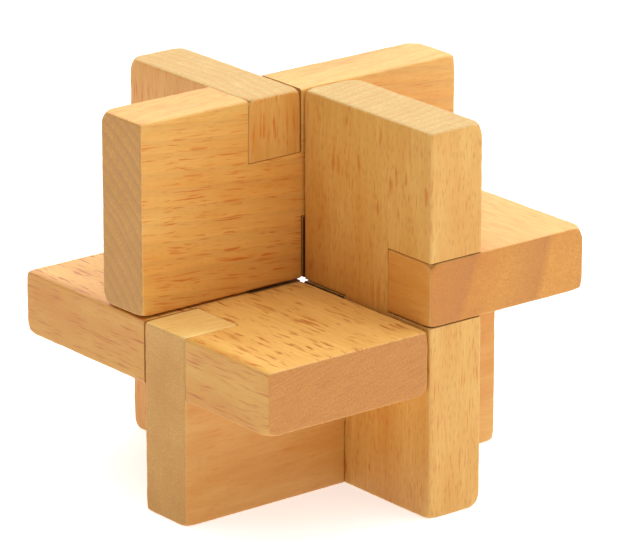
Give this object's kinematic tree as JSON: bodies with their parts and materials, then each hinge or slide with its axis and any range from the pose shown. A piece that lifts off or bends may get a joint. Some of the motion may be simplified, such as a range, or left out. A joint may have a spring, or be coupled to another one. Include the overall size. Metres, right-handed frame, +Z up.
{
  "type": "burr puzzle",
  "caption": "Wooden burr puzzle: identical notched boards crossed at right angles into a cube, whose halves slide apart along each axis.",
  "frame": {"origin": "on the surface the puzzle stands on, under the centre of the cube", "axes": "+Z up along the upright boards, +Y along the edge boards, +X along the flat boards"},
  "size_m": [0.06, 0.06, 0.06],
  "materials": {
    "beech": "sanded, clear satin wax"
  },
  "bodies": {
    "edge_board_lower": {"edge_board_lower": "beech"},
    "edge_board_upper": {"edge_board_upper": "beech"},
    "upright_board_left": {"upright_board_left": "beech"},
    "upright_board_right": {"upright_board_right": "beech"},
    "flat_board_front": {"flat_board_front": "beech"},
    "flat_board_back": {"flat_board_back": "beech"}
  },
  "joints": [
    {"name": "flat_front_lift", "type": "slide", "parent": "edge_board_lower", "child": "flat_board_front", "axis": [0, 0, 1], "range_m": [0, 0.065]},
    {"name": "upright_left_push", "type": "slide", "parent": "flat_board_front", "child": "upright_board_left", "axis": [0, 1, 0], "range_m": [0, 0.065]},
    {"name": "edge_upper_slide", "type": "slide", "parent": "upright_board_left", "child": "edge_board_upper", "axis": [1, 0, 0], "range_m": [0, 0.065]},
    {"name": "upright_right_slide", "type": "slide", "parent": "edge_board_lower", "child": "upright_board_right", "axis": [1, 0, 0], "range_m": [0, 0.065]},
    {"name": "flat_back_push", "type": "slide", "parent": "upright_board_right", "child": "flat_board_back", "axis": [0, 1, 0], "range_m": [0, 0.065]}
  ],
  "couplings": [
    {"joint": "upright_right_slide", "follows": "edge_upper_slide", "ratio": 1},
    {"joint": "flat_back_push", "follows": "upright_left_push", "ratio": 1}
  ]
}
